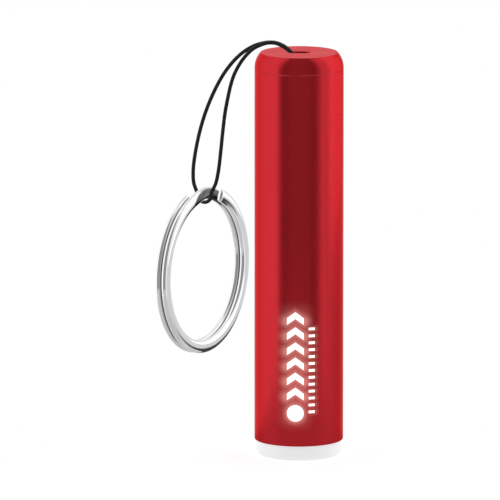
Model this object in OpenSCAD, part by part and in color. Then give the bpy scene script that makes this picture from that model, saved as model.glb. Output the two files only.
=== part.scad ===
// Key ring flashlight: a painted barrel round a light pipe, a white head lens, a coin cell
// battery behind the LED, and a screw cap that is also the switch. A cord through the slot in
// the cap carries a split ring. It stands on the head lens: +Z runs from head to cap.

/* [Barrel] */
// Length of the painted barrel
barrel_len = 75.95; // [60:0.05:110]
// Wall of the barrel round the bore
barrel_wall = 1.4; // [1.1:0.1:3]
// Depth of the engraved mark, through the paint into the white plastic
mark_depth = 0.1; // [0.05:0.05:0.3]
// Chamfer on both ends of the barrel
barrel_chamfer = 0.1; // [0.05:0.05:0.3]

/* [Head lens] */
// How far the lens stands in from the barrel, per side
lens_inset = 0.35; // [0.1:0.05:0.8]
// Visible height of the lens
lens_h = 3.1; // [2:0.1:6]
// Rounding of its lower edge
lens_round = 0.9; // [0.3:0.1:1.4]
// Length of the spigot that is pressed into the barrel
spigot_len = 4; // [2:0.5:8]
// Width of the flat rim that the flashlight stands on
rim_w = 1.3; // [0.8:0.1:3]
// Depth of the dish inside the rim
dish_depth = 0.6; // [0.3:0.1:1]

/* [Light pipe and reflector] */
// Wall of the milky light pipe
pipe_wall = 1.2; // [0.8:0.1:2]
// Height of the reflector
reflector_h = 8; // [7:0.5:12]
// Mouth of the reflector
reflector_mouth_d = 13.2; // [11:0.2:13.4]

/* [LED and board] */
// Body diameter of the LED
led_d = 5; // [3:0.5:5.5]
// Length of the LED, flange and dome included
led_len = 8.6; // [6:0.1:9.5]
// Pitch of its two legs
led_leg_pitch = 2.54; // [2:0.02:3]
// Thickness of the circuit board
board_t = 1; // [0.8:0.1:1.6]
// Height of the battery's spring leaf above the board
leaf_h = 1.9; // [1.5:0.1:3]

/* [Battery] */
// Coin cell diameter: the holder, the bore and the barrel are built round it
cell_d = 11.6; // [9.5:0.1:14]
// Coin cell height
cell_h = 5.4; // [3:0.1:6.6]
// Wall of the battery holder
holder_wall = 1.45; // [1.2:0.05:2]
// Height of the contact spring with the cap screwed down
spring_h = 2.6; // [2.2:0.1:4]
// Wire of the contact spring
spring_wire_d = 0.5; // [0.3:0.05:0.6]

/* [Cap and thread] */
// Height of the cap above the barrel
cap_h = 3.3; // [3:0.1:6]
// Radius of the cap's shoulder
shoulder_r = 4.6; // [2.8:0.1:5]
// How far below the flat top the shoulder starts
shoulder_drop = 3.1; // [1:0.1:3.1]
// Thickness of the cap's top
cap_top_t = 1.6; // [1.2:0.1:2]
// Length of the plug below the cap
plug_len = 5.6; // [5:0.1:9]
// Thread pitch: the cap lifts by this much per turn
pitch = 1; // [0.8:0.1:1.25]
// Depth of the thread on the plug
thread_depth = 0.4; // [0.3:0.05:0.45]
// Section of the sealing ring
o_ring_d = 0.95; // [0.7:0.05:1]
// Slot for the cord: length and width
slot_len = 4.4; // [3.6:0.1:6]
slot_w = 2.2; // [1.9:0.1:2.6]

/* [Cord and key ring] */
// Cord diameter
cord_d = 0.76; // [0.5:0.02:0.78]
// Outer diameter of the split ring
ring_od = 33.8; // [25:0.1:36]
// Ring wire, measured across the ring's radius
wire_w = 2.6; // [1.5:0.1:2.8]
// Ring wire, measured along the ring's axis
wire_t = 1.35; // [1:0.05:1.5]

/* [Hidden] */
$fn = 96;

// Fits
seam_gap = 0.05;     // between cap and barrel with the cap screwed down
slide_gap = 0.2;     // inner pieces that drop into the bore, per side
stack_gap = 0.1;     // left at the head end of the stack
cell_gap = 0.15;     // cells in the holder, per side
touch_gap = 0.05;    // electrical contacts that close as the cap is screwed down
thread_gap = 0.1;    // between the two threads
run_gap = 0.1;       // contact disc on its stud
over = 1;            // how far a cut runs past the face it opens

// Heights, from the surface the flashlight stands on
z_mouth = lens_h + barrel_len;
z_cap = z_mouth + seam_gap;
z_top = z_cap + cap_h;
z_plug = z_cap - plug_len;
disc_t = 0.3;
z_disc = z_plug - touch_gap - disc_t;
strip_t = 0.2;
z_rim = z_disc - touch_gap - strip_t;
z_cells_top = z_disc - spring_h;
cell_count = 3;
z_cells = z_cells_top - cell_count * cell_h;
z_board_top = z_cells - leaf_h;
z_board = z_board_top - board_t;
z_reflector = z_board - reflector_h;
z_spigot = lens_h + spigot_len;

// Radii, from the cells outwards
cell_r = cell_d / 2;
cell_bore_r = cell_r + cell_gap;
ledge_r = cell_bore_r - 0.95;
drop_r = cell_bore_r + holder_wall;
bore_r = drop_r + slide_gap;
barrel_r = bore_r + barrel_wall;

// Cap plug and thread, from the bore inwards
land_h = 1.8;                           // smooth upper part of the plug, with the sealing ring
land_r = bore_r - 0.15;
collar_gap = 0.2;
collar_wall = 0.5;
z_collar = z_plug - 0.3;
z_collar_top = z_cap - land_h - collar_gap;
groove_r = bore_r - collar_wall;        // bottom of the groove in the collar
crest_r = groove_r - thread_gap;        // top of the thread on the plug
core_r = crest_r - thread_depth;
collar_bore_r = core_r + thread_gap;
plug_wall = 0.8;
plug_bore_r = core_r - plug_wall;
disc_r = collar_bore_r - 0.2;
half_crest = 0.12;                      // half the width of the thread's flat crest
flank = 0.55;                           // half width gained per millimetre towards the root
thread_z = z_plug + 0.6;                // start of the thread on the plug
thread_turns = (z_collar_top - 0.4 - thread_z) / pitch;
turn_steps = 36;

// Spring seat and its stud
seat_h = 2.5;
stud_r = 1.5;
stud_head_r = 2.1;
stud_head_h = 0.35;

// Contact strip beside the battery
strip_w = 2;
strip_out_r = drop_r - 0.1;
strip_clear = 0.15;
strip_tab_r = ledge_r + 1.05;

// The knot under the slot, a little wider than the slot so that it can't be pulled through
knot_r = slot_w / 2 + 0.25;
knot_x = -1;

// Ring: it hangs beside the barrel, turned about the upright
ring_turn = 59.6;
ring_r = (ring_od - wire_w) / 2;
layer = wire_t / 2 + 0.03;              // half the spacing of the two layers of wire
jog_span = 38;                          // stretch where the wire crosses from layer to layer
hook_angle = 2;                         // the cord holds the ring this far round from its top
ring_u = [cos(ring_turn), sin(ring_turn), 0];
ring_n = [sin(ring_turn), -cos(ring_turn), 0];
up = [0, 0, 1];
// Where the cord holds the ring: the middle of the wire, from the centre of the cap's top
hook = [-19.2, 1.6, -29.2];
// Centre line of the two strands, from the same point, starting in the slot
front_strand = [
    [-1, -0.4, -0.6], [-1.5, -0.4, -0.1], [-2.9, -0.4, 1], [-4.6, -0.4, 1.85], [-6.3, -0.4, 1.95],
    [-8, -0.4, 1.42], [-9.6, -0.4, 0.5], [-11.4, -0.3, -1.5], [-12.8, -0.2, -3.9],
    [-13.65, -0.1, -6.2], [-14.3, 0, -9], [-14.95, 0.1, -12.5], [-15.42, 0.3, -16.5],
    [-15.82, 0.5, -20.5], [-16.25, 0.7, -24.2], [-16.8, 0.8, -26.9]
];
back_strand = [
    [-21.25, 2.6, -27.3], [-21.4, 2.6, -25.5], [-21.25, 2.4, -23], [-20.6, 2.1, -19],
    [-19.65, 1.7, -15], [-18.4, 1.4, -11.2], [-16.85, 1.1, -7.6], [-15.15, 0.9, -4.5],
    [-13.2, 0.6, -1.9], [-11.3, 0.5, -0.1], [-9.4, 0.4, 1.1], [-7.9, 0.4, 1.65],
    [-6.3, 0.4, 1.95], [-4.6, 0.4, 1.85], [-2.9, 0.4, 1.1], [-1.5, 0.4, -0.1], [-1, 0.4, -0.6]
];
bight_r = wire_w / 2 + cord_d / 2 + 0.1;
bight_angles = [10, -25, -60, -90, -120, -155, -190];

// Engraved mark: a lamp disc, the beam in front of it and a row of ticks
mark_x = -0.75;
mark_z = 5.1;
mark_w = 3.5;
stroke = 1.4;
beam_count = 6;
beam_pitch = 3.1;
beam_rise = 1.25;
tick_x = 2.55;
tick_size = [1.25, 0.55];
tick_count = 13;
tick_pitch = 1.42;

// ---- Helpers ----

module ring_prism(r_out, r_in, h) {
    difference() {
        cylinder(r = r_out, h = h);
        translate([0, 0, -over]) cylinder(r = r_in, h = h + 2 * over);
    }
}

// Solid through a list of sections, each a loop of the same number of points
module skin(sections) {
    n = len(sections[0]);
    last = len(sections) - 1;
    polyhedron(
        points = [for (s = sections) for (p = s) p],
        faces = concat(
            [[for (k = [n - 1:-1:0]) k]],
            [for (i = [0:last - 1]) for (k = [0:n - 1])
                [i * n + k, i * n + (k + 1) % n, (i + 1) * n + (k + 1) % n, (i + 1) * n + k]],
            [[for (k = [0:n - 1]) last * n + k]]
        ),
        convexity = 8
    );
}

// Helical ridge: sections in radius and height, carried round and up by the pitch
module helix(r_foot, r_crest, widen, z_start, turns) {
    steps = ceil(turns * turn_steps);
    half_foot = half_crest + flank * (r_crest - r_foot) + widen;
    half_top = half_crest + widen;
    skin([for (i = [0:steps])
        let (a = 360 * turns * i / steps, z = z_start + pitch * a / 360)
        [for (p = [[r_foot, -half_foot], [r_crest, -half_top],
                   [r_crest, half_top], [r_foot, half_foot]])
            [p[0] * cos(a), p[0] * sin(a), z + p[1]]]]);
}

function unit(v) = v / norm(v);

// Point on the smooth curve through four neighbouring points, from the second to the third
function blend_point(a, b, c, d, t) =
    0.5 * (2 * b + (c - a) * t + (2 * a - 5 * b + 4 * c - d) * t * t
        + (3 * b - a - 3 * c + d) * t * t * t);

function smooth_path(pts, steps) = let (n = len(pts)) concat(
    [for (i = [0:n - 2]) for (k = [0:steps - 1])
        blend_point(pts[max(i - 1, 0)], pts[i], pts[i + 1], pts[min(i + 2, n - 1)], k / steps)],
    [pts[n - 1]]
);

// Round tube along a path that never runs along Y
module tube_along(path, d, sides) {
    n = len(path);
    skin([for (i = [0:n - 1])
        let (
            along = unit(path[min(i + 1, n - 1)] - path[max(i - 1, 0)]),
            side = unit(cross([0, 1, 0], along)),
            third = cross(along, side)
        )
        [for (k = [0:sides - 1]) let (a = 360 * k / sides)
            path[i] + d / 2 * (cos(a) * side + sin(a) * third)]]);
}

// ---- Barrel and head ----

module mark_outline() {
    disc_z = lens_h + mark_z + mark_w / 2;
    translate([mark_x, disc_z]) circle(d = mark_w);
    for (i = [1:beam_count])
        translate([mark_x, disc_z + mark_w / 2 + (i - 1) * beam_pitch + 0.9])
            polygon([
                [-mark_w / 2, 0], [0, beam_rise], [mark_w / 2, 0],
                [mark_w / 2, stroke], [0, beam_rise + stroke], [-mark_w / 2, stroke]
            ]);
    for (i = [0:tick_count - 1])
        translate([tick_x - tick_size[0] / 2, disc_z + i * tick_pitch])
            square(tick_size);
}

module barrel_tube() color("firebrick") {
    difference() {
        translate([0, 0, lens_h]) rotate_extrude() polygon([
            [bore_r, 0], [barrel_r - barrel_chamfer, 0], [barrel_r, barrel_chamfer],
            [barrel_r, barrel_len - barrel_chamfer],
            [barrel_r - barrel_chamfer, barrel_len], [bore_r, barrel_len]
        ]);
        intersection() {
            ring_prism(barrel_r + over, barrel_r - mark_depth, z_mouth);
            rotate([90, 0, 0]) linear_extrude(barrel_r + over) mark_outline();
        }
    }
}

module head_lens() color("whitesmoke") {
    flange_r = barrel_r - lens_inset;
    dish_r = flange_r - lens_round - rim_w;
    dome_r = (dish_r * dish_r + dish_depth * dish_depth) / (2 * dish_depth);
    difference() {
        rotate_extrude() union() {
            translate([0, lens_round]) square([flange_r, lens_h - lens_round]);
            square([flange_r - lens_round, lens_h]);
            translate([flange_r - lens_round, lens_round]) circle(lens_round);
            translate([0, lens_h]) square([bore_r, spigot_len]);
        }
        // Shallow dish that keeps the face off the surface it stands on
        translate([0, 0, dish_depth - dome_r]) intersection() {
            sphere(dome_r);
            translate([0, 0, dome_r - dish_depth - over])
                cylinder(r = dish_r, h = dish_depth + over);
        }
        // Hollow that lets the light in from the pipe
        translate([0, 0, lens_h]) cylinder(r = drop_r - pipe_wall, h = spigot_len + over);
    }
}

module light_pipe() color("white") {
    translate([0, 0, z_spigot + stack_gap])
        ring_prism(drop_r, drop_r - pipe_wall, z_reflector - z_spigot - stack_gap);
}

module reflector() color("silver") {
    flange_h = 1.4;
    waist_r = led_d / 2 + 0.35;
    difference() {
        translate([0, 0, z_reflector]) cylinder(r = drop_r, h = reflector_h);
        translate([0, 0, z_reflector])
            cylinder(r1 = reflector_mouth_d / 2, r2 = waist_r, h = reflector_h - flange_h);
        translate([0, 0, z_reflector - over])
            cylinder(r = reflector_mouth_d / 2, h = over);
        translate([0, 0, z_reflector]) cylinder(r = waist_r, h = reflector_h + over);
    }
}

// ---- LED and circuit board ----

module led_body() color("lightyellow") {
    flange_h = 1;
    flange_extra = 0.3;
    dome_r = led_d / 2;
    translate([0, 0, z_board - flange_h]) cylinder(r = dome_r + flange_extra, h = flange_h);
    translate([0, 0, z_board - led_len + dome_r])
        cylinder(r = dome_r, h = led_len - dome_r - flange_h / 2);
    translate([0, 0, z_board - led_len + dome_r]) sphere(dome_r);
}

leg_w = 0.5;
leg_top = 0.7;

module led_legs() color("silver") {
    for (s = [-1, 1])
        translate([s * led_leg_pitch / 2 - leg_w / 2, -leg_w / 2, z_board])
            cube([leg_w, leg_w, board_t + leg_top]);
}

module circuit_board() color("seagreen") {
    difference() {
        translate([0, 0, z_board]) cylinder(r = drop_r, h = board_t);
        for (s = [-1, 1])
            translate([s * led_leg_pitch / 2, 0, z_board - over])
                cylinder(d = leg_w * 1.9, h = board_t + 2 * over);
    }
}

chip = [1.2, 2, 0.5];
chip_x = -3.2;

module resistor() color("dimgray") {
    translate([chip_x - chip[0] / 2, -chip[1] / 2, z_board_top]) cube(chip);
}

module solder_joints() color("gainsboro") {
    foot_r = 0.65;
    for (s = [-1, 1]) difference() {
        translate([s * led_leg_pitch / 2, 0, z_board_top])
            cylinder(r1 = foot_r, r2 = 0.4, h = 0.5);
        translate([s * led_leg_pitch / 2 - leg_w / 2, -leg_w / 2, z_board_top - over])
            cube([leg_w, leg_w, 2 * over]);
    }
}

module positive_leaf() color("goldenrod") {
    t = 0.25;
    w = 3;
    foot_in = ledge_r - 1.7;
    foot_out = ledge_r - 0.4;
    tip = -0.9;
    translate([0, w / 2, z_board_top]) rotate([90, 0, 0]) linear_extrude(w) polygon([
        [foot_out, 0], [foot_out, t], [foot_in, t], [0.9, leaf_h], [tip, leaf_h],
        [tip, leaf_h - t], [0.8, leaf_h - t], [foot_in - 0.1, 0]
    ]);
}

module ground_strip() color("silver") {
    inner = strip_out_r - strip_t;
    translate([0, strip_w / 2, 0]) rotate([90, 0, 0]) linear_extrude(strip_w) polygon([
        [-strip_tab_r, z_rim], [-strip_tab_r, z_rim + strip_t], [-strip_out_r, z_rim + strip_t],
        [-strip_out_r, z_board_top], [-strip_tab_r, z_board_top],
        [-strip_tab_r, z_board_top + strip_t], [-inner, z_board_top + strip_t],
        [-inner, z_rim]
    ]);
}

// ---- Battery ----

module battery_holder() color("#303030") {
    window_w = 9;
    window_end = 0.6;
    channel_w = strip_w + 2 * strip_clear;
    difference() {
        translate([0, 0, z_board_top]) cylinder(r = drop_r, h = z_rim - z_board_top);
        translate([0, 0, z_cells]) cylinder(r = cell_bore_r, h = z_rim - z_cells + over);
        translate([0, 0, z_board_top - over]) cylinder(r = ledge_r, h = leaf_h + 2 * over);
        // Window that lets a finger push the cells out
        translate([-window_w / 2, -drop_r - over, z_cells + window_end])
            cube([window_w, drop_r + over - ledge_r / 2, cell_count * cell_h - 2 * window_end]);
        // Channel and foot notch for the contact strip
        translate([-drop_r - over, -channel_w / 2, z_board_top - over])
            cube([over + drop_r - strip_out_r + strip_t + strip_clear, channel_w,
                  z_rim - z_board_top + 2 * over]);
        translate([-drop_r, -channel_w / 2, z_board_top - over])
            cube([drop_r - strip_tab_r + strip_clear, channel_w, over + strip_t + strip_clear]);
    }
}

// Can at the bottom, insulating groove and the smaller raised terminal on top
module coin_cell(i) color("lightgray") {
    raise = 0.3;
    edge = 0.3;
    terminal_r = cell_r * 0.8;
    translate([0, 0, z_cells + i * cell_h]) rotate_extrude() polygon([
        [0, 0], [cell_r - edge, 0], [cell_r, edge], [cell_r, cell_h - raise - edge],
        [cell_r - edge, cell_h - raise], [terminal_r + 0.3, cell_h - raise],
        [terminal_r + 0.3, cell_h - 2 * raise], [terminal_r, cell_h - 2 * raise],
        [terminal_r, cell_h - 0.1], [terminal_r - 0.1, cell_h], [0, cell_h]
    ]);
}

module contact_disc() color("silver") {
    translate([0, 0, z_disc]) ring_prism(disc_r, stud_r + run_gap, disc_t);
}

module contact_spring() color("silver") {
    turns = 3.2;
    top_r = 3.6;
    low_r = 2.3;
    steps = 20;
    n = ceil(turns * steps);
    z_low = z_cells_top + spring_wire_d / 2 + 0.02;
    z_high = z_disc - spring_wire_d / 2;
    path = [for (i = [0:n])
        let (s = i / n, a = 360 * turns * s, r = top_r + (low_r - top_r) * s)
        [r * cos(a), r * sin(a), z_high + (z_low - z_high) * s]];
    skin([for (i = [0:n])
        let (out = unit([path[i][0], path[i][1], 0]))
        [for (k = [0:7]) let (b = -45 * k)
            path[i] + spring_wire_d / 2 * (cos(b) * out + sin(b) * up)]]);
}

// ---- Cap and its pieces ----

module threaded_collar() color("#404040") {
    difference() {
        translate([0, 0, z_collar])
            ring_prism(bore_r, collar_bore_r, z_collar_top - z_collar);
        helix(collar_bore_r - 0.1, groove_r, thread_gap,
              thread_z - 2 * pitch, (z_collar_top - thread_z) / pitch + 3);
    }
}

module cord_slot(h) {
    for (s = [-1, 1])
        translate([s * (slot_len - slot_w) / 2, 0, 0]) cylinder(d = slot_w, h = h);
    translate([-(slot_len - slot_w) / 2, -slot_w / 2, 0]) cube([slot_len - slot_w, slot_w, h]);
}

// Bevel round the rim of the slot
module slot_bevel(size) {
    reach = (slot_len - slot_w) / 2;
    for (s = [-1, 1])
        translate([s * reach, 0, -size])
            cylinder(r1 = slot_w / 2, r2 = slot_w / 2 + 2 * size, h = 2 * size);
    translate([-reach, 0, -size]) rotate([90, 0, 90]) linear_extrude(2 * reach) polygon([
        [-slot_w / 2, 0], [slot_w / 2, 0],
        [slot_w / 2 + 2 * size, 2 * size], [-slot_w / 2 - 2 * size, 2 * size]
    ]);
}

module tail_cap() color("firebrick") {
    shoulder_z = max(cap_h - shoulder_drop, 2 * barrel_chamfer);
    groove_h = o_ring_d + 0.1;
    difference() {
        union() {
            translate([0, 0, z_cap]) rotate_extrude() intersection() {
                square([barrel_r, cap_h]);
                union() {
                    polygon([
                        [0, 0], [barrel_r - barrel_chamfer, 0], [barrel_r, barrel_chamfer],
                        [barrel_r, shoulder_z], [0, shoulder_z]
                    ]);
                    square([barrel_r - shoulder_r, cap_h]);
                    translate([barrel_r - shoulder_r, shoulder_z]) circle(shoulder_r);
                }
            }
            translate([0, 0, z_cap - land_h]) cylinder(r = land_r, h = land_h);
            translate([0, 0, z_plug]) cylinder(r = core_r, h = plug_len);
            helix(core_r - 0.1, crest_r, 0, thread_z, thread_turns);
        }
        translate([0, 0, z_plug - over])
            cylinder(r = plug_bore_r, h = z_top - cap_top_t - z_plug + over);
        translate([0, 0, z_cap - land_h + 0.3])
            ring_prism(bore_r + over, bore_r - touch_gap - o_ring_d, groove_h);
        translate([0, 0, z_top - cap_top_t - over]) cord_slot(cap_top_t + 2 * over);
        translate([0, 0, z_top]) slot_bevel(0.2);
    }
}

module cap_o_ring() color("#202020") {
    translate([0, 0, z_cap - land_h + 0.35 + o_ring_d / 2]) rotate_extrude()
        translate([bore_r - touch_gap - o_ring_d / 2, 0]) circle(d = o_ring_d);
}

// Insulating seat pressed into the plug; the contact disc turns on its stud
module spring_seat() color("ivory") {
    translate([0, 0, z_plug]) cylinder(r = plug_bore_r, h = seat_h);
    translate([0, 0, z_disc - touch_gap]) cylinder(r = stud_r, h = z_plug - z_disc + touch_gap);
    translate([0, 0, z_disc - touch_gap - stud_head_h])
        cylinder(r1 = stud_r, r2 = stud_head_r, h = stud_head_h);
}

// ---- Cord and key ring ----

module cord_knot() color("#181818") {
    // Pulled up against the edges of the slot
    knot_z = z_top - cap_top_t - touch_gap - sqrt(knot_r * knot_r - slot_w * slot_w / 4);
    translate([knot_x, 0, knot_z]) sphere(knot_r);
}

module cord_loop() color("#181818") {
    bight = [for (a = bight_angles) hook + bight_r * (cos(a) * ring_n + sin(a) * up)];
    route = concat(front_strand, bight, back_strand);
    translate([0, 0, z_top]) tube_along(smooth_path(route, 2), cord_d, 8);
}

module split_ring() color("silver") {
    corner = 0.4;
    section = [for (q = [[1, 1], [-1, 1], [-1, -1], [1, -1]]) for (a = [0, 45, 90])
        let (turn = (q[0] * q[1] > 0) ? a : 90 - a)
        [q[0] * (wire_w / 2 - corner + corner * cos(turn)),
         q[1] * (wire_t / 2 - corner + corner * sin(turn))]];
    center = hook - ring_r * (sin(hook_angle) * ring_u + cos(hook_angle) * up);
    step = 4;
    wire_span = 720 - jog_span;
    crossing_start = 360 - jog_span;
    translate([0, 0, z_top]) skin([for (t = [0:step:wire_span])
        let (
            a = hook_angle + jog_span / 2 + t,
            s = min(max((t - crossing_start) / jog_span, 0), 1),
            n_off = layer * cos(180 * s),
            out = sin(a) * ring_u + cos(a) * up
        )
        [for (p = section) center + (ring_r + p[0]) * out + (n_off + p[1]) * ring_n]]);
}

barrel_tube();
head_lens();
light_pipe();
reflector();
led_body();
led_legs();
circuit_board();
resistor();
solder_joints();
positive_leaf();
ground_strip();
battery_holder();
coin_cell(0);  // coin_cell_1
coin_cell(1);  // coin_cell_2
coin_cell(2);  // coin_cell_3
threaded_collar();
contact_disc();
contact_spring();
tail_cap();
cap_o_ring();
spring_seat();
cord_knot();
cord_loop();
split_ring();
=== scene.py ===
# %% [markdown]
# # A key ring flashlight
# The model is a slim pocket torch. A lacquered barrel stands on a milky white head, a screw cap
# closes the other end, and a thin cord through the cap's slot carries a split ring. The measured
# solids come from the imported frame, where every piece already has its place and its body. This
# script gives them their finishes, and makes finer versions of the pieces that plain solids
# can't show: the cord, the ring, the knot under the cap and the glowing mark.

# %% Load the frame
import math

import bpy
import numpy as np
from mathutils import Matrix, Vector


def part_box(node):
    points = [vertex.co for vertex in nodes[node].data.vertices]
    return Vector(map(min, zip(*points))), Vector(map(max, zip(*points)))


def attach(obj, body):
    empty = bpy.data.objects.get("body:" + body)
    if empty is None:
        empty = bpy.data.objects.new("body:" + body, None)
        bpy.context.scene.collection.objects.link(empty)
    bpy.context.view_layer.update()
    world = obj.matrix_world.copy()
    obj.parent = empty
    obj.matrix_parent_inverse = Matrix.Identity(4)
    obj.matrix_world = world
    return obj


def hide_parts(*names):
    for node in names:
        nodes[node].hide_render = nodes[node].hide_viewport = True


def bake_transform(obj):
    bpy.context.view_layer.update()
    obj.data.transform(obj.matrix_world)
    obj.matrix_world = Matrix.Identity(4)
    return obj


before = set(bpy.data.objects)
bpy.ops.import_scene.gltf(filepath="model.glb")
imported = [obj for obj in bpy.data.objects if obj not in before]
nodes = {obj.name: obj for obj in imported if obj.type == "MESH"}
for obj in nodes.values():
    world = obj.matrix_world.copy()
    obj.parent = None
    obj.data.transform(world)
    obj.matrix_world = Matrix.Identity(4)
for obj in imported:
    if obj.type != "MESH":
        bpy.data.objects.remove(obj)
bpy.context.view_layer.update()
scene = bpy.context.scene

# %% [markdown]
# Places come from the frame's own boxes, so nothing here has to be fitted by eye. The barrel's
# box gives its radius, and the cap's box gives the flat top that the cord is measured from.

# %% Read the main sizes
barrel_low, barrel_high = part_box("barrel_tube")
barrel_radius = barrel_high.x
barrel_foot = barrel_low.z
top_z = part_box("tail_cap")[1].z
print(f"barrel radius {barrel_radius * 1000:.1f} mm, cap top at {top_z * 1000:.1f} mm")

# %% [markdown]
# A long lens far away keeps the barrel's sides almost parallel, as in a catalogue picture. The
# camera looks down by about ten degrees, so the flat top of the cap shows as a thin ellipse.

# %% Place the camera
eye_elevation = math.radians(10.3)
eye_distance = 2.0
aim = Vector((-0.0099, 0.0, 0.04188))
toward_eye = Vector((0.0, -math.cos(eye_elevation), math.sin(eye_elevation)))
camera_data = bpy.data.cameras.new("camera")
camera_data.lens = 712
camera_data.clip_end = 10
camera = bpy.data.objects.new("camera", camera_data)
camera.location = aim + toward_eye * eye_distance
camera.rotation_euler = (-toward_eye).to_track_quat("-Z", "Y").to_euler()
scene.collection.objects.link(camera)
scene.camera = camera
print(f"camera {eye_distance} m away, {camera_data.lens:.0f} mm lens")

# %% [markdown]
# ## The cord
# The cord is one thin black line. It rises out of the slot as two strands side by side, arches
# over the edge of the cap, hangs down and turns back on itself round the wire of the key ring.
# The chosen points below are metres from the centre of the cap's top. A smooth curve runs
# through them, and only the tight turn under the wire is worked out as an arc.

# %% Chosen points of the cord's route
front_strand = [
    (-0.0010, -0.0004, -0.0006), (-0.0015, -0.0004, -0.0001), (-0.0029, -0.0004, 0.0010),
    (-0.0046, -0.0004, 0.00185), (-0.0063, -0.0004, 0.00195), (-0.0080, -0.0004, 0.00142),
    (-0.0096, -0.0004, 0.0005), (-0.0114, -0.0003, -0.0015), (-0.0128, -0.0002, -0.0039),
    (-0.01365, -0.0001, -0.0062), (-0.0143, 0.0, -0.0090), (-0.01495, 0.0001, -0.0125),
    (-0.01542, 0.0003, -0.0165), (-0.01582, 0.0005, -0.0205), (-0.01625, 0.0007, -0.0242),
    (-0.0168, 0.0008, -0.0269),
]
back_strand = [
    (-0.02125, 0.0026, -0.0273), (-0.0214, 0.0026, -0.0255), (-0.02125, 0.0024, -0.0230),
    (-0.0206, 0.0021, -0.0190), (-0.01965, 0.0017, -0.0150), (-0.0184, 0.0014, -0.0112),
    (-0.01685, 0.0011, -0.0076), (-0.01515, 0.0009, -0.0045), (-0.0132, 0.0006, -0.0019),
    (-0.0113, 0.0005, -0.0001), (-0.0094, 0.0004, 0.0011), (-0.0079, 0.0004, 0.00165),
    (-0.0063, 0.0004, 0.00195), (-0.0046, 0.0004, 0.00185), (-0.0029, 0.0004, 0.0011),
    (-0.0015, 0.0004, -0.0001), (-0.0010, 0.0004, -0.0006),
]
print(len(front_strand), "points down to the ring,", len(back_strand), "points back up")

# %% [markdown]
# The cord holds the ring at one place, the hook, and everything about the ring is measured from
# there. The ring hangs upright but turned about the vertical, so its plane is given by one
# direction across it, and its axis is at a right angle to that.

# %% Place and turn of the ring
hook = Vector((-0.0192, 0.0016, -0.0292))
ring_turn = math.radians(59.6)
ring_across = Vector((math.cos(ring_turn), math.sin(ring_turn), 0))
ring_axis = Vector((math.sin(ring_turn), -math.cos(ring_turn), 0))
up = Vector((0, 0, 1))
print(f"ring turned by {math.degrees(ring_turn):.1f} degrees")

# %% [markdown]
# The turn under the wire is an arc in the plane that crosses the ring. Its radius leaves the
# cord just clear of the wire that it carries. The rest of the line is a curve that passes through
# every chosen point. A curve of that kind is easy to steer, because each point only moves its
# own neighbourhood.

# %% Work out the cord's full centre line
cord_radius = 0.00038
wire_width = 0.0026
wire_thickness = 0.00135
wire_clearance = 0.0001
bight_radius = wire_width / 2 + cord_radius + wire_clearance
bight_angles = (10, -25, -60, -90, -120, -155, -190)
steps_between = 8


def smooth_line(points, steps):
    """Points on a smooth curve that passes through every chosen point."""
    p = [Vector(q) for q in points]
    line = []
    for i in range(len(p) - 1):
        a, b, c, d = p[max(i - 1, 0)], p[i], p[i + 1], p[min(i + 2, len(p) - 1)]
        for k in range(steps):
            t = k / steps
            bend = (2 * a - 5 * b + 4 * c - d) * t * t + (3 * b - a - 3 * c + d) * t ** 3
            line.append(0.5 * (2 * b + (c - a) * t + bend))
    return line + [p[-1]]


def around_wire(angle):
    """Point of the turn under the wire; 0 degrees is on the side that faces the barrel."""
    a = math.radians(angle)
    return hook + bight_radius * (math.cos(a) * ring_axis + math.sin(a) * up)


cap_top = Vector((0, 0, top_z))
chosen = [*front_strand, *[around_wire(a) for a in bight_angles], *back_strand]
cord_line = [cap_top + p for p in smooth_line(chosen, steps_between)]

# %% [markdown]
# The cord, the ring, the knot and the mark are all meshes made from lists of points and faces.
# One helper turns such lists into a piece. Another one lays faces between rings of points, which
# is how every long thing here gets its skin. The skin also gets a map of its surface, once round
# and in millimetres along, so that the twist of fibres can be drawn on it later.

# %% Helpers: a piece from points, and a skin over rings
def new_piece(name, verts, faces, uvs=None):
    """A mesh object in the scene, smooth shaded, with one map point per corner if given."""
    mesh = bpy.data.meshes.new(name)
    mesh.from_pydata([tuple(v) for v in verts], [], faces)
    if uvs is not None:
        layer = mesh.uv_layers.new(name="map")
        flat = [c for face in uvs for corner in face for c in corner]
        layer.data.foreach_set("uv", flat)
    mesh.polygons.foreach_set("use_smooth", [True] * len(mesh.polygons))
    piece = bpy.data.objects.new(name, mesh)
    scene.collection.objects.link(piece)
    return piece


def skin(name, rings, closed=False):
    """Quads between rings of points. Open ends are closed with a face each."""
    count, sides = len(rings), len(rings[0])
    verts = [v for ring in rings for v in ring]
    along = [0.0]
    for a, b in zip(rings, rings[1:]):
        along.append(along[-1] + (b[0] - a[0]).length * 1000)
    faces, uvs = [], []
    for i in range(count if closed else count - 1):
        j = (i + 1) % count
        far = along[j] if j else along[-1] + (rings[0][0] - rings[-1][0]).length * 1000
        for k in range(sides):
            n = (k + 1) % sides
            faces.append((i * sides + k, i * sides + n, j * sides + n, j * sides + k))
            u0, u1 = k / sides, (k + 1) / sides
            uvs.append(((u0, along[i]), (u1, along[i]), (u1, far), (u0, far)))
    if not closed:
        faces.append(tuple(range(sides - 1, -1, -1)))
        faces.append(tuple((count - 1) * sides + k for k in range(sides)))
        uvs.extend([[(0, 0)] * sides, [(0, along[-1])] * sides])
    return new_piece(name, verts, faces, uvs)

# %% [markdown]
# A tube along a line needs a frame of directions that doesn't twist on its way. Each new frame
# is the last one turned by as little as possible, so the map on the tube runs straight too.

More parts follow.
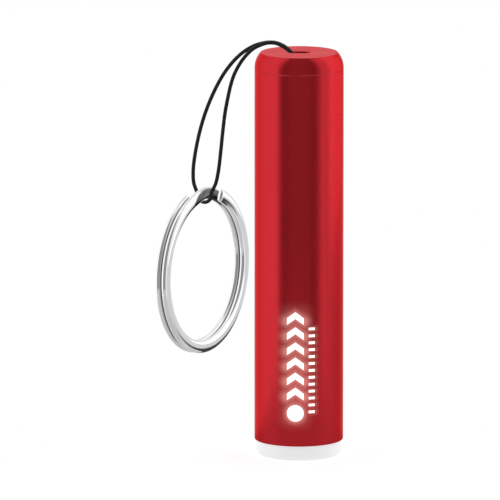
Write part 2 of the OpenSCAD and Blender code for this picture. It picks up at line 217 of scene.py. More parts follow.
# %% Helper: a smooth tube along a line
def tube(name, line, radius, sides=16, closed=False):
    """Round tube along a line, open or closed to a loop."""
    turns = [2 * math.pi * k / sides for k in range(sides)]
    rings, side = [], None
    for i, point in enumerate(line):
        ahead = line[(i + 1) % len(line)] if closed else line[min(i + 1, len(line) - 1)]
        behind = line[i - 1] if closed or i else line[0]
        direction = (ahead - behind).normalized()
        side = side or direction.orthogonal()
        side = (side - direction * side.dot(direction)).normalized()
        third = direction.cross(side)
        rings.append([point + radius * (math.cos(a) * side + math.sin(a) * third) for a in turns])
    return skin(name, rings, closed)

# %% [markdown]
# A cord could also be a curve with a round bevel. A mesh tube is chosen because its surface map
# carries the twist of the yarns. It takes the place of the plain solid cord, which stays behind
# for the collisions, hidden.

# %% Make the cord
cord = tube("cord", cord_line, cord_radius)
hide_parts("cord_loop")
print("cord tube:", len(cord.data.polygons), "faces")

# %% [markdown]
# ## The split ring
# A split ring is spring wire wound almost twice round and pressed flat, so it is a helix whose
# two turns lie side by side. At one place the wire crosses from the first layer to the second,
# and the two cut ends sit on either side of that crossing. The wire is rolled, with full round
# edges, so its section is a rounded oblong. Bending a straight wire with a modifier would blur
# the crossing, so the helix is worked out here, step by step, as a row of wire sections.

# %% Helpers: the wire's section and its place
ring_radius = 0.0156
half_gap = 0.00003
layer_offset = wire_thickness / 2 + half_gap
crossing_span = 38
hook_angle = 2
ring_centre = cap_top + hook - ring_radius * (
    math.sin(math.radians(hook_angle)) * ring_across + math.cos(math.radians(hook_angle)) * up
)


def wire_section(points, width, thickness, squareness=2.3):
    """Rounded oblong, as pairs of (outwards, along the axis)."""
    section = []
    for k in range(points):
        a = 2 * math.pi * k / points
        c, s = math.cos(a), math.sin(a)
        section.append((
            math.copysign(abs(c) ** (2 / squareness), c) * width / 2,
            math.copysign(abs(s) ** (2 / squareness), s) * thickness / 2,
        ))
    return section


def ring_place(turn):
    """Outward direction and layer of the wire, turn degrees after its first cut end."""
    angle = math.radians(hook_angle + crossing_span / 2 + turn)
    crossing = min(max((turn - (360 - crossing_span)) / crossing_span, 0), 1)
    outward = math.sin(angle) * ring_across + math.cos(angle) * up
    return outward, layer_offset * math.cos(math.pi * crossing)


print(f"ring centre {-ring_centre.x * 1000:.1f} mm to the side, {ring_centre.z * 1000:.1f} mm up")

# %% [markdown]
# The two ends of the wire are sheared off and tumbled, which rounds their edges. So the last two
# sections at each end are drawn in a little before the skin closes them.

# %% Make the split ring
section_points = 32


def split_ring_rings(step=2.0, end_round=0.0004):
    """Sections of the wire from one cut end to the other."""
    wire_span = 720 - crossing_span
    section = wire_section(section_points, wire_width, wire_thickness)
    turns = list(np.arange(0, wire_span + step / 2, step))
    soft = math.degrees(end_round / ring_radius)
    stops = [(0, 0.55), (soft * 0.3, 0.85), (soft, 1.0)]
    sizes = [*stops, *[(t, 1.0) for t in turns[1:-1]]]
    sizes += [(wire_span - t, s) for t, s in reversed(stops)]
    rings = []
    for turn, size in sizes:
        outward, layer = ring_place(turn)
        rings.append([
            ring_centre + (ring_radius + size * p) * outward + (layer + size * q) * ring_axis
            for p, q in section
        ])
    return rings


split_ring = skin("key_split_ring", split_ring_rings())
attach(split_ring, "key_ring")
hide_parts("split_ring")
print("split ring:", len(split_ring.data.polygons), "faces")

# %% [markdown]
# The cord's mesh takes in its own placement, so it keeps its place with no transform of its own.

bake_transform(cord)

# %% [markdown]
# ## Finishes
# Every finish is a node material made by one small class. It starts from the main shader, adds
# patterns that are fixed to the piece, and wires them to the colour, the roughness or a fine
# relief. Patterns are measured in metres or millimetres on the piece, so their scale is real.

# %% Helper: a finish in the making
def add_node(tree, kind, settings=None, **inputs):
    """Adds a shader node. Each input is a value or the output of another node."""
    node = tree.nodes.new("ShaderNode" + kind)
    for key, value in (settings or {}).items():
        setattr(node, key, value)
    for key, value in inputs.items():
        socket = node.inputs[int(key[2:]) if key.startswith("in") else key.replace("_", " ")]
        if isinstance(value, bpy.types.NodeSocket):
            tree.links.new(value, socket)
        else:
            socket.default_value = value
    return node


class Finish:
    """One material: its main shader and the patterns that feed it."""

    def __init__(self, name, colour, roughness, **values):
        self.material = bpy.data.materials.new(name)
        self.material.use_nodes = True
        self.tree = self.material.node_tree
        self.shader = self.tree.nodes["Principled BSDF"]
        values.update(Base_Color=(*colour, 1), Roughness=roughness)
        for socket, value in values.items():
            self.shader.inputs[socket.replace("_", " ")].default_value = value
        self.place = self.add("TexCoord").outputs["Object"]

    def add(self, kind, settings=None, **inputs):
        return add_node(self.tree, kind, settings, **inputs)

    def math(self, operation, first, second=0.0):
        return self.add("Math", {"operation": operation}, in0=first, in1=second).outputs[0]

    def axes(self):
        """The place on the piece as three numbers in millimetres."""
        scaled = self.add("VectorMath", {"operation": "SCALE"}, Vector=self.place, Scale=1000.0)
        return self.add("SeparateXYZ", Vector=scaled.outputs[0]).outputs[:]

    def clouds(self, size_mm, detail=2.0, stretch=(1, 1, 1)):
        """Soft random pattern from 0 to 1, with clouds of about the given size."""
        place = self.add("Mapping", Vector=self.place, Scale=stretch).outputs[0]
        noise = self.add("TexNoise", Vector=place, Scale=1000.0 / size_mm, Detail=detail)
        return noise.outputs["Fac"]

    def band(self, value, low, high, start=0.0, end=1.0, kind="SMOOTHSTEP"):
        """Carries a value from low..high over to start..end, softly."""
        return self.add("MapRange", {"interpolation_type": kind}, Value=value, From_Min=low,
                        From_Max=high, To_Min=start, To_Max=end).outputs["Result"]

    def vary(self, socket, pattern, low, high):
        """Lets a pattern carry one of the shader's sockets between two values."""
        self.tree.links.new(self.band(pattern, 0.25, 0.75, low, high), self.shader.inputs[socket])

    def blend(self, pattern, first, second):
        """Blends two colours by a pattern. A colour is three numbers or another blend."""
        first, second = (c if isinstance(c, bpy.types.NodeSocket) else (*c, 1)
                         for c in (first, second))
        mix = self.add("Mix", {"data_type": "RGBA"}, in0=pattern, in6=first, in7=second)
        return mix.outputs[2]

    def colours(self, pattern, first, second, socket="Base Color"):
        """Blends two colours and wires them to the shader."""
        self.tree.links.new(self.blend(pattern, first, second), self.shader.inputs[socket])

    def relief(self, height, depth_mm, strength=1.0):
        """Turns a pattern into fine relief of the given depth."""
        bump = self.add("Bump", Height=height, Strength=strength, Distance=depth_mm / 1000)
        self.tree.links.new(bump.outputs["Normal"], self.shader.inputs["Normal"])

    def dress(self, *pieces):
        """Puts the finish on pieces and on the frame's own nodes."""
        for piece in pieces:
            piece = nodes[piece] if isinstance(piece, str) else piece
            if not piece.material_slots:
                piece.data.materials.append(self.material)
            for slot in piece.material_slots:
                slot.material = self.material
        print("finish", self.material.name, "on", len(pieces), "pieces")

# %% [markdown]
# ## The mark
# Light shines out of the barrel through an engraved mark: a round lamp, a beam of six chevrons
# in front of it, and a row of short ticks beside them. On the real object the paint is cut away
# and the white tube under it glows. Each stroke is made here as a thin pad that lies in its
# engraving and follows the curve of the barrel, a hair below the paint.

# %% Sizes of the mark, in millimetres
mark_x = -0.75
mark_half_width = 1.75
lamp_z = barrel_foot * 1000 + 5.1 + mark_half_width
beam_z = lamp_z + mark_half_width + 0.9
beam_pitch = 3.1
beam_count = 6
beam_rise = 1.25
stroke = 1.4
tick_x = 2.55
tick_size = (1.25, 0.55)
tick_pitch = 1.42
tick_count = 13
print(f"mark from {lamp_z - mark_half_width:.1f} mm to {beam_z + beam_count * beam_pitch:.1f} mm")

# %% [markdown]
# A stroke starts as a flat grid of points that covers its outline. The grid is then laid on the
# cylinder: across stays across, and the depth comes from the radius. The outer row of the grid
# sits a little lower than the rest, which gives the pad a soft crowned edge.

# %% Helper: a thin curved pad
pad_floor = 8.905
pad_edge = 8.925
pad_crown = 8.965


def on_barrel(x, z, radius):
    """Point on a cylinder round the barrel's axis, on the side of the mark."""
    return Vector((x, -math.sqrt(radius * radius - x * x), z)) / 1000


def pad(grid, verts, faces):
    """Adds one closed pad to the lists of points and faces."""
    rows, columns = len(grid), len(grid[0])
    first, under = len(verts), rows * columns
    for i, row in enumerate(grid):
        for j, (x, z) in enumerate(row):
            edge = i in (0, rows - 1) or j in (0, columns - 1)
            verts.append(on_barrel(x, z, pad_edge if edge else pad_crown))
    verts.extend(on_barrel(x, z, pad_floor) for row in grid for x, z in row)
    for i in range(rows - 1):
        for j in range(columns - 1):
            a = first + i * columns + j
            quad = (a, a + 1, a + columns + 1, a + columns)
            faces.append(quad)
            faces.append(tuple(v + under for v in reversed(quad)))
    rim = [*range(columns), *[i * columns + columns - 1 for i in range(1, rows)],
           *[under - 2 - j for j in range(columns - 1)],
           *[i * columns for i in range(rows - 2, 0, -1)]]
    for a, b in zip(rim, rim[1:] + rim[:1]):
        faces.append((first + b, first + a, first + a + under, first + b + under))

# %% [markdown]
# The round lamp is a square grid drawn out to a disc, which avoids the crowded point in the
# middle of a fan. A chevron is a strip that climbs to its middle. A tick is a small plain bar.
# All of them are a little smaller than their engraving, so they slip in without touching it.

# %% Outlines of the lamp, a chevron and a tick
shrink = 0.97
even = [k / 5 - 1 for k in range(11)]
edged = [-1, -0.86, -0.4, 0, 0.4, 0.86, 1]
across_chevron = (-1, -0.93, -0.6, -0.3, 0, 0.3, 0.6, 0.93, 1)


def lamp_grid():
    """A square grid drawn out to a round disc."""
    r = mark_half_width * shrink
    return [[(mark_x + r * u * math.sqrt(1 - v * v / 2), lamp_z + r * v * math.sqrt(1 - u * u / 2))
             for u in even] for v in even]


def chevron_grid(number):
    """A strip that rises to its middle and falls again."""
    z = beam_z + number * beam_pitch + stroke / 2
    return [[(mark_x + mark_half_width * shrink * u,
              z + beam_rise * (1 - abs(u)) + stroke / 2 * shrink * v)
             for u in across_chevron] for v in edged]


def tick_grid(number):
    z = lamp_z + number * tick_pitch + tick_size[1] / 2
    return [[(tick_x + tick_size[0] / 2 * shrink * u, z + tick_size[1] / 2 * shrink * v)
             for u in edged] for v in edged]


print("a lamp of", len(even) ** 2, "points, chevrons of", len(across_chevron) * len(edged))

# %% [markdown]
# Each row of strokes becomes one piece that rides on the torch's body, so that a row can be
# picked and changed as a whole.

# %% Make the lamp, the beam and the ticks
def mark_piece(name, grids):
    verts, faces = [], []
    for grid in grids:
        pad(grid, verts, faces)
    piece = new_piece(name, verts, faces)
    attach(piece, "torch")
    print(name, len(grids), "pads,", len(faces), "faces")
    return piece


mark_pieces = [
    mark_piece("mark_lamp", [lamp_grid()]),
    mark_piece("mark_beam", [chevron_grid(i) for i in range(beam_count)]),
    mark_piece("mark_ticks", [tick_grid(i) for i in range(tick_count)]),
]

# %% [markdown]
# The pads glow. Small lamps behind every stroke would be slow and noisy, so the finish itself
# gives off light. It comes through white plastic, and is even with only a faint cloud.

# %% Glow of the mark
glow = Finish("mark_glow", (0.95, 0.93, 0.90), 0.5, Emission_Strength=1.0)
glow.colours(glow.clouds(1.5), (1.0, 0.93, 0.88), (1.0, 0.99, 0.96), "Emission Color")
glow.relief(glow.clouds(0.2), 0.004)
glow.dress(*mark_pieces)

# %% [markdown]
# ## Red lacquer
# The barrel and the cap are sprayed with a satin metallic red. It is a colour over fine metal
# flakes, so the shader is mostly metallic, and its reflections are red, with only a thin clear
# film above. Very fine grain breaks up the reflection, as the flakes do. Close to the mark the
# glow spreads under the lacquer. That halo is drawn by its distance from the strokes, and the
# nearest chevron or tick is found by rounding.

# %% Helpers: distances inside a finish
def distance(finish, across, along):
    """Length of the two legs of a right angle."""
    squares = finish.math("ADD", finish.math("MULTIPLY", across, across),
                          finish.math("MULTIPLY", along, along))
    return finish.math("SQRT", squares)


def past(finish, value, centre, half):
    """How far a value lies outside centre - half .. centre + half."""
    away = finish.math("ABSOLUTE", finish.math("SUBTRACT", value, centre))
    return finish.math("MAXIMUM", finish.math("SUBTRACT", away, half), 0.0)


def from_nearest(finish, value, pitch, count):
    """Distance to the nearest of the places 0, pitch, 2 pitch and so on."""
    number = finish.math("ROUND", finish.math("DIVIDE", value, pitch))
    number = finish.math("MINIMUM", finish.math("MAXIMUM", number, 0.0), count - 1.0)
    nearest = finish.math("MULTIPLY", number, pitch)
    return finish.math("ABSOLUTE", finish.math("SUBTRACT", value, nearest))

# %% [markdown]
# The halo has two parts. A strong one ends a little over a millimetre from each stroke. A faint
# one reaches three millimetres out from the row as a whole, because light that has gone further
# under the paint has lost the shape of the single strokes. The small ticks let less light out.

# %% Glow that spreads from the mark
near_reach = 1.3
near_weight = 0.5
wide_reach = 3.4
wide_weight = 0.22
tick_loss = 0.35
stroke_core = stroke * 0.4
near_start = -0.1
row_half_width = 1.2
row_end = 1.0
slope_factor = 1 / math.hypot(1, beam_rise / mark_half_width)
print(f"halo: {near_reach} mm from a stroke, {wide_reach} mm from the row")


def fade(finish, gap, start, reach):
    """1 at the start, 0 at the reach, and falling fast at first."""
    return finish.math("POWER", finish.band(gap, start, reach, 1.0, 0.0, "LINEAR"), 2.0)


def spread_of_glow(finish):
    """Strength of the glow under the lacquer: strong at the strokes, faint round the rows."""
    x, y, z = finish.axes()
    lamp = distance(finish, finish.math("SUBTRACT", x, mark_x), finish.math("SUBTRACT", z, lamp_z))
    lamp = finish.math("SUBTRACT", lamp, mark_half_width)
    aside = finish.math("ABSOLUTE", finish.math("SUBTRACT", x, mark_x))
    slope = finish.math("MULTIPLY", finish.math("MINIMUM", aside, mark_half_width),
                        beam_rise / mark_half_width)
    crest = beam_z + beam_rise + stroke / 2
    lift = finish.math("SUBTRACT", finish.math("ADD", z, slope), crest)
    beam = distance(finish, past(finish, x, mark_x, mark_half_width),
                    from_nearest(finish, lift, beam_pitch, beam_count))
    beam = finish.math("SUBTRACT", finish.math("MULTIPLY", beam, slope_factor), stroke_core)
    step = finish.math("SUBTRACT", z, lamp_z + tick_size[1] / 2)
    ticks = distance(finish, past(finish, x, tick_x, tick_size[0] / 2),
                     from_nearest(finish, step, tick_pitch, tick_count))
    ticks = finish.math("ADD", finish.math("SUBTRACT", ticks, tick_size[1] / 2), tick_loss)
    stroke_gap = finish.math("MINIMUM", finish.math("MINIMUM", lamp, beam), ticks)
    near = fade(finish, stroke_gap, near_start, near_reach)
    rows_low = lamp_z - row_end
    rows_high = beam_z + beam_count * beam_pitch - row_end
    row_gap = distance(finish, past(finish, x, mark_x, row_half_width),
                       past(finish, z, (rows_low + rows_high) / 2, (rows_high - rows_low) / 2))
    wide = fade(finish, row_gap, 0.0, wide_reach)
    both = finish.math("ADD", finish.math("MULTIPLY", near, near_weight),
                       finish.math("MULTIPLY", wide, wide_weight))
    return finish.math("MULTIPLY", both, finish.math("LESS_THAN", y, 0.0))


# %% [markdown]
# No light gets far into the cord's slot, nor between the barrel and the cap. Both places are known
# in height and width, so their shade is painted into the colour there as near black lacquer.

# %% Painted shade in the slot and the seam
slot_half = (2.2, 1.1)
slot_middle = top_z * 1000 - 1.2
slot_half_depth = 1.0
slot_tolerance = 0.03
seam_z = barrel_high.z * 1000 + 0.025
seam_half = 0.04
seam_tolerance = 0.001


def painted_slot_seam_shade(finish):
    """1 where shade is painted: inside the cap's slot and between barrel and cap."""
    x, y, z = finish.axes()
    beside = finish.math("MAXIMUM", past(finish, x, 0.0, slot_half[0]),
                         past(finish, y, 0.0, slot_half[1]))
    outside = finish.math("ADD", beside, past(finish, z, slot_middle, slot_half_depth))
    slot = finish.math("LESS_THAN", outside, slot_tolerance)
    seam = finish.math("LESS_THAN", past(finish, z, seam_z, seam_half), seam_tolerance)
    return finish.math("MAXIMUM", slot, seam)


print(f"slot about {2 * slot_half[0]} mm wide, seam at {seam_z:.2f} mm")

# %% [markdown]
# Now the lacquer itself. Clouds of several sizes stand for what a spray gun leaves: a grain of
# flakes, patches that are a little duller, and slow changes of the red.

# %% Red lacquer for the barrel and the cap
lacquer = Finish("red_lacquer", (0.53, 0.020, 0.028), 0.3, Metallic=0.9, Coat_Weight=0.06,
                 Coat_Roughness=0.15, Specular_Tint=(1.0, 0.26, 0.29, 1))
lacquer.relief(lacquer.clouds(0.11), 0.01, 0.12)
lacquer.vary("Roughness", lacquer.clouds(6.0, 3.0), 0.24, 0.30)
paint = lacquer.blend(lacquer.clouds(9.0, 2.0, (1, 1, 0.4)),
                      (0.51, 0.019, 0.026), (0.55, 0.021, 0.030))
# Painted shade: the lacquer turns near black inside the slot and in the seam.
lacquer.colours(painted_slot_seam_shade(lacquer), paint, (0.03, 0.004, 0.005))
halo = spread_of_glow(lacquer)
lacquer.colours(halo, (0.0, 0.0, 0.0), (0.60, 0.31, 0.27), "Emission Color")
lacquer.shader.inputs["Emission Strength"].default_value = 1.0
lacquer.dress("barrel_tube", "tail_cap")

# %% [markdown]
# ## Head
# The head is moulded from milky plastic that scatters the lamp's light. It looks soft white from
# the side, and it is brightest in the dish underneath, straight in front of the LED. The glow is
# set by the distance from the axis. A faint flow pattern from the moulding keeps it from looking
# like paint.

# %% Milky plastic of the head and the light pipe
bright_radius, dim_radius = 2.0, 8.6


def milky(name, glow_strength):
    finish = Finish(name, (0.56, 0.56, 0.565), 0.4, Specular_IOR_Level=0.25, Coat_Weight=0.04,
                    Coat_Roughness=0.25, Emission_Strength=glow_strength)
    x, y, z = finish.axes()
    centre = finish.band(distance(finish, x, y), bright_radius, dim_radius, 0.0, 1.0)
    finish.colours(centre, (1.0, 0.97, 0.90), (0.47, 0.47, 0.48), "Emission Color")
    finish.colours(finish.clouds(4.0, 3.0), (0.54, 0.54, 0.545), (0.58, 0.58, 0.585))
    finish.relief(finish.clouds(0.3), 0.004, 0.5)
    return finish


milky("milky_lens", 1.0).dress("head_lens")
milky("milky_pipe", 0.6).dress("light_pipe")

# %% [markdown]
# ## Cord and knot
# The cord is twisted from waxed black yarns. Each yarn could be a tube of its own, but that takes
# very many faces for a cord that is under a millimetre thick. The surface map runs once round
# the cord and in millimetres along it, so the twist can be a wave that climbs as it goes round.

# %% Twisted black cord
yarns = 3.0
lay_length = 1.5
fibre_share = 0.35
twist = Finish("cord_black", (0.006, 0.006, 0.007), 0.62, Specular_IOR_Level=0.25,
               Sheen_Weight=0.08, Sheen_Roughness=0.5)
around, along, _ = twist.add("SeparateXYZ", Vector=twist.add("TexCoord").outputs["UV"]).outputs
climb = twist.math("ADD", twist.math("MULTIPLY", around, yarns),
                   twist.math("DIVIDE", along, lay_length))
wave = twist.math("ABSOLUTE", twist.math("SINE", twist.math("MULTIPLY", climb, math.pi)))
fibres = twist.clouds(0.06, 3.0)
twist.relief(twist.math("ADD", wave, twist.math("MULTIPLY", fibres, fibre_share)), 0.05, 0.6)
# Painted shade: the colour is darker in the grooves between the yarns, where the relief is low.
twist.colours(wave, (0.003, 0.003, 0.003), (0.012, 0.012, 0.013))
twist.vary("Roughness", fibres, 0.52, 0.72)
twist.dress(cord)

# %% [markdown]
# Under the cap's slot the two ends are tied into a stopper knot, which keeps the cord from
# pulling out. A ball would do for a place that nobody sees, but a trefoil curve, the simplest
# real knot, costs only one formula. Two short tails lead from it up into the slot.

# %% Stopper knot under the slot
knot_low, knot_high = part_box("cord_knot")
knot_centre = (knot_low + knot_high) / 2
knot_reach = (knot_high.z - knot_low.z) / 2
knot_loop = 0.58 * (knot_reach - cord_radius)
knot_bulge = 0.42 * (knot_reach - cord_radius)
knot_rise = 1.6
tail_start = 0.45
knot_steps = 120


def trefoil(step):
    """Point of a closed trefoil knot."""
    t = 2 * math.pi * step / knot_steps
    reach = knot_loop + knot_bulge * math.cos(3 * t)
    return knot_centre + Vector((reach * math.cos(2 * t), reach * math.sin(2 * t),
                                 knot_bulge * knot_rise * math.sin(3 * t)))


def tail(strand):
    """From the knot up to the place where a strand of the cord begins."""
    low = knot_centre + Vector((0, strand.y - knot_centre.y, knot_reach * tail_start))
    middle = (low + strand) / 2
    return [low, middle, strand]


knot = tube("stopper_knot", [trefoil(k) for k in range(knot_steps)], cord_radius, closed=True)
tails = [tube("knot_tail_front", tail(cord_line[0]), cord_radius),
         tube("knot_tail_back", tail(cord_line[-1]), cord_radius)]
for piece in (knot, *tails):
    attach(piece, "tail_cap")
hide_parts("cord_knot")
twist.dress(knot, *tails)

# %% [markdown]
# ## Bright nickel
# The ring's wire is nickel plated and tumbled until it shines. A mirror metal takes its look from
# what stands around it, so the finish only adds what tumbling leaves: slight waves and a changing
# shine. It also paints shade into the narrow gap between the two turns, as a dark band in the
# colour. The surface map goes once round the wire, from the outer edge over the front. The first
# turn has the gap at its back, three quarters round. After the crossing the wire has it at its
# front.

# %% Polished nickel of the ring
gap_shade_edge = (0.08, 0.17)
crossing_start = math.radians(360 - crossing_span) * ring_radius * 1000
crossing_end = math.radians(360) * ring_radius * 1000
nickel = Finish("ring_nickel", (0.78, 0.785, 0.795), 0.05, Metallic=1.0)
nickel.vary("Roughness", nickel.clouds(0.35, 3.0), 0.03, 0.07)
nickel.relief(nickel.clouds(2.5, 2.0), 0.012, 0.3)
bright = nickel.blend(nickel.clouds(3.0, 2.0), (0.74, 0.745, 0.755), (0.82, 0.825, 0.83))
across, along, _ = nickel.add("SeparateXYZ", Vector=nickel.add("TexCoord").outputs["UV"]).outputs
second_turn = nickel.band(along, crossing_start, crossing_end)
gap_side = nickel.math("SUBTRACT", 0.75, nickel.math("MULTIPLY", second_turn, 0.5))
from_gap = nickel.math("ABSOLUTE", nickel.math("SUBTRACT", across, gap_side))
# Painted shade: the colour turns near black along the gap between the two turns.
nickel.colours(nickel.band(from_gap, *gap_shade_edge), (0.05, 0.05, 0.055), bright)
nickel.dress(split_ring)

# %% [markdown]
# ## Inside
# Nothing inside shows while the cap is on, but each piece still gets the finish of its real
# material. The LED is cast in clear resin over a yellow dot of phosphor. The dot isn't a piece
# of its own: the resin's colour turns yellow near the axis, at the dot's height.

# %% LED
dot_radius = (0.6, 1.3)
dot_depth = (3.5, 2.5)
epoxy = Finish("led_epoxy", (0.97, 0.97, 0.94), 0.05, Transmission_Weight=0.85, IOR=1.54)
x, y, z = epoxy.axes()
led_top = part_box("led_body")[1].z * 1000
phosphor = epoxy.math("MULTIPLY", epoxy.band(distance(epoxy, x, y), *dot_radius, 1.0, 0.0),
                      epoxy.band(z, led_top - dot_depth[0], led_top - dot_depth[1]))
epoxy.colours(phosphor, (0.97, 0.97, 0.94), (0.95, 0.80, 0.12))
epoxy.vary("Roughness", epoxy.clouds(0.5), 0.03, 0.09)
epoxy.dress("led_body")

# %% [markdown]
# The reflector is turned on a lathe and silvered. The tool leaves fine rings, so the pattern
# depends on the height alone.

# %% Reflector
tool_rings = 9.0
silver = Finish("reflector_silver", (0.86, 0.87, 0.88), 0.12, Metallic=1.0)
x, y, z = silver.axes()
turned = silver.add("TexNoise", {"noise_dimensions": "1D"},
                    W=silver.math("MULTIPLY", z, tool_rings), Detail=2.0).outputs["Fac"]
silver.vary("Roughness", turned, 0.08, 0.2)
silver.relief(turned, 0.004, 0.4)
silver.dress("reflector")

# %% [markdown]
# The board is a small disc of green laminate. Its copper tracks show through the solder mask as
# lighter lines, so a grid of bands about half a millimetre wide stands for them.

# %% Circuit board
mask = Finish("board_green", (0.01, 0.12, 0.035), 0.3, Coat_Weight=0.4, Coat_Roughness=0.15)


def waves(place, per_mm, low, high):
    """Bands that repeat along one direction, with soft edges."""
    wave = mask.math("ABSOLUTE", mask.math("SINE", mask.math("MULTIPLY", place, per_mm)))
    return mask.band(wave, low, high)


x, y, z = mask.axes()
tracks = mask.math("MULTIPLY", waves(x, 2.2, 0.25, 0.4), waves(y, 1.3, 0.12, 0.2))
mask.colours(tracks, (0.008, 0.085, 0.028), (0.016, 0.17, 0.05))
mask.relief(tracks, 0.03, 0.7)
mask.dress("circuit_board")

# %% [markdown]
# The resistor is a flat ceramic chip with a tinned cap at each end. One finish does both: it
# turns from dull black to metal where the distance from the chip's middle is large.

# %% Resistor
body_share = 0.3
ceramic = Finish("resistor_black", (0.03, 0.03, 0.03), 0.5)
chip_low, chip_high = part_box("resistor")
chip_middle = (chip_low + chip_high) / 2 * 1000
chip_size = (chip_high - chip_low) * 1000
x, y, z = ceramic.axes()
if chip_size.x > chip_size.y:
    away = past(ceramic, x, chip_middle.x, chip_size.x * body_share)
else:
    away = past(ceramic, y, chip_middle.y, chip_size.y * body_share)
ends = ceramic.band(away, 0.0, 0.05)
ceramic.colours(ends, (0.02, 0.02, 0.022), (0.62, 0.62, 0.60))
ceramic.tree.links.new(ends, ceramic.shader.inputs["Metallic"])
ceramic.relief(ceramic.clouds(0.08, 3.0), 0.01, 0.5)
ceramic.dress("resistor")

# %% [markdown]
# Solder freezes into a bright skin with dull patches, and tinned legs look much the same. A fine
# cloud in the roughness gives both.

# %% Soldered wire
tin = Finish("tinned_wire", (0.72, 0.72, 0.70), 0.25, Metallic=1.0)
tin.vary("Roughness", tin.clouds(0.25, 4.0), 0.15, 0.4)
tin.relief(tin.clouds(0.3, 2.0), 0.02, 0.5)
tin.dress("led_legs", "solder_joints")

# %% [markdown]
# Spring brass and contact steel are rolled, so their grain is a cloud pattern drawn out along one
# direction. The two differ only in colour and direction, so one function makes both.

# %% Contacts
def rolled(name, colour, roughness, stretch):
    finish = Finish(name, colour, roughness, Metallic=1.0, Anisotropic=0.4)
    grain = finish.clouds(0.12, 3.0, stretch)
    finish.vary("Roughness", grain, roughness * 0.7, roughness * 1.3)
    finish.relief(grain, 0.004, 0.6)
    finish.colours(finish.clouds(2.0), colour, tuple(c * 0.86 for c in colour))
    return finish


rolled("leaf_brass", (0.72, 0.48, 0.17), 0.28, (0.08, 1, 1)).dress("positive_leaf")
rolled("contact_steel", (0.62, 0.62, 0.61), 0.3, (1, 1, 0.08)).dress(
    "ground_strip", "contact_disc", "contact_spring")

# %% [markdown]
# A coin cell's steel can is brushed in circles round its axis. The pattern is a random line read
# off by the distance from the axis, which gives fine circles with a single node.

# %% Coin cells
brushed_rings = 14.0
can = Finish("cell_steel", (0.62, 0.63, 0.64), 0.25, Metallic=1.0)
x, y, z = can.axes()
from_axis = can.math("MULTIPLY", distance(can, x, y), brushed_rings)
rings = can.add("TexNoise", {"noise_dimensions": "1D"}, W=from_axis, Detail=3.0).outputs["Fac"]
can.relief(rings, 0.004, 0.5)
can.vary("Roughness", rings, 0.18, 0.36)
can.colours(can.clouds(3.0), (0.56, 0.57, 0.58), (0.68, 0.68, 0.69))
can.dress("coin_cell_1", "coin_cell_2", "coin_cell_3")

# %% [markdown]
# The holder, the collar, the spring's seat and the seal come out of moulds. A mould's spark-eroded
# walls leave a fine matt grain, which differs from piece to piece in size and depth.

# %% Moulded plastic and rubber
def moulded(name, colour, roughness, grain_mm, depth_mm):
    finish = Finish(name, colour, roughness)
    grain = finish.clouds(grain_mm, 3.0)
    finish.relief(grain, depth_mm, 0.6)
    finish.vary("Roughness", grain, roughness * 0.85, min(roughness * 1.2, 1.0))
    finish.colours(finish.clouds(5.0), colour, tuple(c * 0.8 for c in colour))
    return finish


moulded("holder_black", (0.025, 0.025, 0.027), 0.5, 0.12, 0.012).dress(
    "battery_holder", "threaded_collar")
moulded("o_ring_rubber", (0.015, 0.015, 0.015), 0.75, 0.2, 0.01).dress("cap_o_ring")
moulded("seat_ivory", (0.72, 0.68, 0.56), 0.42, 0.25, 0.006).dress("spring_seat")

# %% [markdown]
# ## Table and light
# The flashlight stands on a plain white table. A small round patch of it is enough. It reaches
# further to the front than to the back, takes the soft shadow under the head, and fades into the
# white backdrop. The patch gives off some light of its own, so that it stays as white as the
# backdrop, but less of it towards the object, or the barrel's foot would be too bright.

# %% Make the table
table_radius = 0.075
table_middle = -0.055
table_sides = 96
table_angles = np.linspace(0, 2 * math.pi, table_sides, endpoint=False)
table = new_piece("table", [
    (table_radius * math.cos(a), table_middle + table_radius * math.sin(a), 0)
    for a in table_angles], [tuple(range(table_sides))])
paper = Finish("table_white", (0.45, 0.45, 0.45), 0.9, Specular_IOR_Level=0.0,
               Emission_Color=(1, 1, 1, 1))
in_view = paper.add("LightPath").outputs["Is Camera Ray"]
glow_on_object, glow_in_view = 0.30, 0.68
paper.tree.links.new(paper.band(in_view, 0.0, 1.0, glow_on_object, glow_in_view, "LINEAR"),
                     paper.shader.inputs["Emission Strength"])
paper.dress(table)

# %% [markdown]
# The studio is a ring of white walls with a dark gap behind the camera. A glossy cylinder turns
# that into its typical look: two broad bright bands and a dark one in the middle. The walls are
# the background light itself. Its strength is read from a ramp over the compass angle, which is 0
# towards the camera and grows to the right. The darkest parts of the gap are its two edges, which
# draw the thin dark lines on the ring's wire. The ceiling is bright for the top of the cap. Below
# the walls lies a pale floor, which is dark on the right, so the ring's lower edge turns dark.

# %% Choose the studio's light
wall_strength = 1.36
ceiling_strength = 1.15
floor_strength = 0.85
dark_floor_strength = 0.06
dark_floor_angle = 135.0
dark_floor_rise = 0.15
dark_floor_reach = (20.0, 45.0)
floor_edge = (-0.45, -0.39)
ceiling_edge = (0.97, 1.0)
walls = [  # compass angle in degrees, brightness
    (-180, 0.74), (-140, 0.78), (-110, 0.88), (-85, 0.90), (-60, 1.0), (-50, 0.30), (-43, 0.14),
    (-22, 0.27), (22, 0.27), (40, 0.16), (49, 0.26), (62, 0.82), (80, 0.66), (105, 0.56),
    (140, 0.62), (180, 0.74),
]
print("studio with", len(walls), "stops of wall brightness")

# %% [markdown]
# The ring of walls could be built from real panels. The background is simpler: it is endlessly
# far away, so nothing has to be placed or hidden, and one ramp holds all of the walls. Straight
# to the camera it shows plain white, and everything else sees the studio.

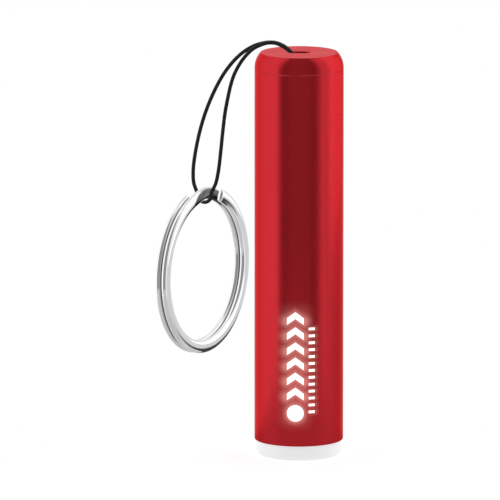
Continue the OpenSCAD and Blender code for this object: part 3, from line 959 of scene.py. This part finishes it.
# %% Make the studio
def studio():
    world = bpy.data.worlds.new("studio")
    world.use_nodes = True
    scene.world = world
    tree = world.node_tree
    tree.nodes.clear()

    def calc(operation, first, second=0.0):
        return add_node(tree, "Math", {"operation": operation}, in0=first, in1=second).outputs[0]

    def soft(value, low, high, start, end):
        return add_node(tree, "MapRange", {"interpolation_type": "SMOOTHSTEP"}, Value=value,
                        From_Min=low, From_Max=high, To_Min=start, To_Max=end).outputs[0]

    direction = add_node(tree, "TexCoord").outputs["Generated"]
    x, y, z = add_node(tree, "SeparateXYZ", Vector=direction).outputs
    compass = calc("DEGREES", calc("ARCTAN2", x, calc("MULTIPLY", y, -1.0)))
    place = calc("ADD", calc("DIVIDE", compass, 360.0), 0.5)
    ramp = add_node(tree, "ValToRGB", Fac=place)
    ramp.color_ramp.interpolation = "EASE"
    stops = ramp.color_ramp.elements
    while len(stops) < len(walls):
        stops.new(0.5)
    for stop, (angle, bright) in zip(stops, walls):
        stop.position = angle / 360 + 0.5
        stop.color = (bright, bright, bright, 1)
    around = calc("MULTIPLY", ramp.outputs["Color"], wall_strength)
    overhead = soft(z, *ceiling_edge, 0.0, 1.0)
    aside = calc("ABSOLUTE", calc("SUBTRACT", compass, dark_floor_angle))
    dark = soft(aside, *dark_floor_reach, 1.0, 0.0)
    floor = calc("SUBTRACT", floor_strength,
                 calc("MULTIPLY", dark, floor_strength - dark_floor_strength))
    height = calc("SUBTRACT", z, calc("MULTIPLY", dark, dark_floor_rise))
    below = soft(height, *floor_edge, 1.0, 0.0)
    level = calc("ADD", calc("MULTIPLY", around, calc("SUBTRACT", 1.0, overhead)),
                 calc("MULTIPLY", overhead, ceiling_strength))
    level = calc("ADD", calc("MULTIPLY", level, calc("SUBTRACT", 1.0, below)),
                 calc("MULTIPLY", below, floor))
    light = add_node(tree, "Background", Color=(1, 1, 1, 1), Strength=level)
    backdrop = add_node(tree, "Background", Color=(1, 1, 1, 1), Strength=1.0)
    seen = add_node(tree, "LightPath").outputs["Is Camera Ray"]
    mix = add_node(tree, "MixShader", in0=seen, in1=light.outputs[0], in2=backdrop.outputs[0])
    out = add_node(tree, "OutputWorld")
    tree.links.new(mix.outputs[0], out.inputs["Surface"])


studio()
scene.view_settings.view_transform = "Standard"
print("background with", len(scene.world.node_tree.nodes), "nodes")

# %% [markdown]
# The pieces don't mirror each other. With the ring so close to the barrel, each would draw dark
# and red patches on the other that hide its own form, and a product picture avoids that.

# %% Keep reflections clean
unmirrored = (split_ring, cord, *mark_pieces, *nodes.values())
for piece in unmirrored:
    piece.visible_glossy = False
print(len(unmirrored), "pieces are left out of reflections")

# %% [markdown]
# A soft panel on the right stands high, so its reflection is bright near the cap and fades
# towards the head.

# %% Make the side panel
panel_data = bpy.data.lights.new("side_panel", "AREA")
panel_data.shape = "RECTANGLE"
panel_data.size = 0.26
panel_data.size_y = 0.17
panel_data.energy = 0.095
panel = bpy.data.objects.new("side_panel", panel_data)
panel.location = (0.15, 0.065, 0.150)
panel.rotation_euler = Vector((-1, 0, 0)).to_track_quat("-Z", "Z").to_euler()
panel.visible_camera = False
scene.collection.objects.link(panel)
print("side panel at", tuple(round(c, 2) for c in panel.location))
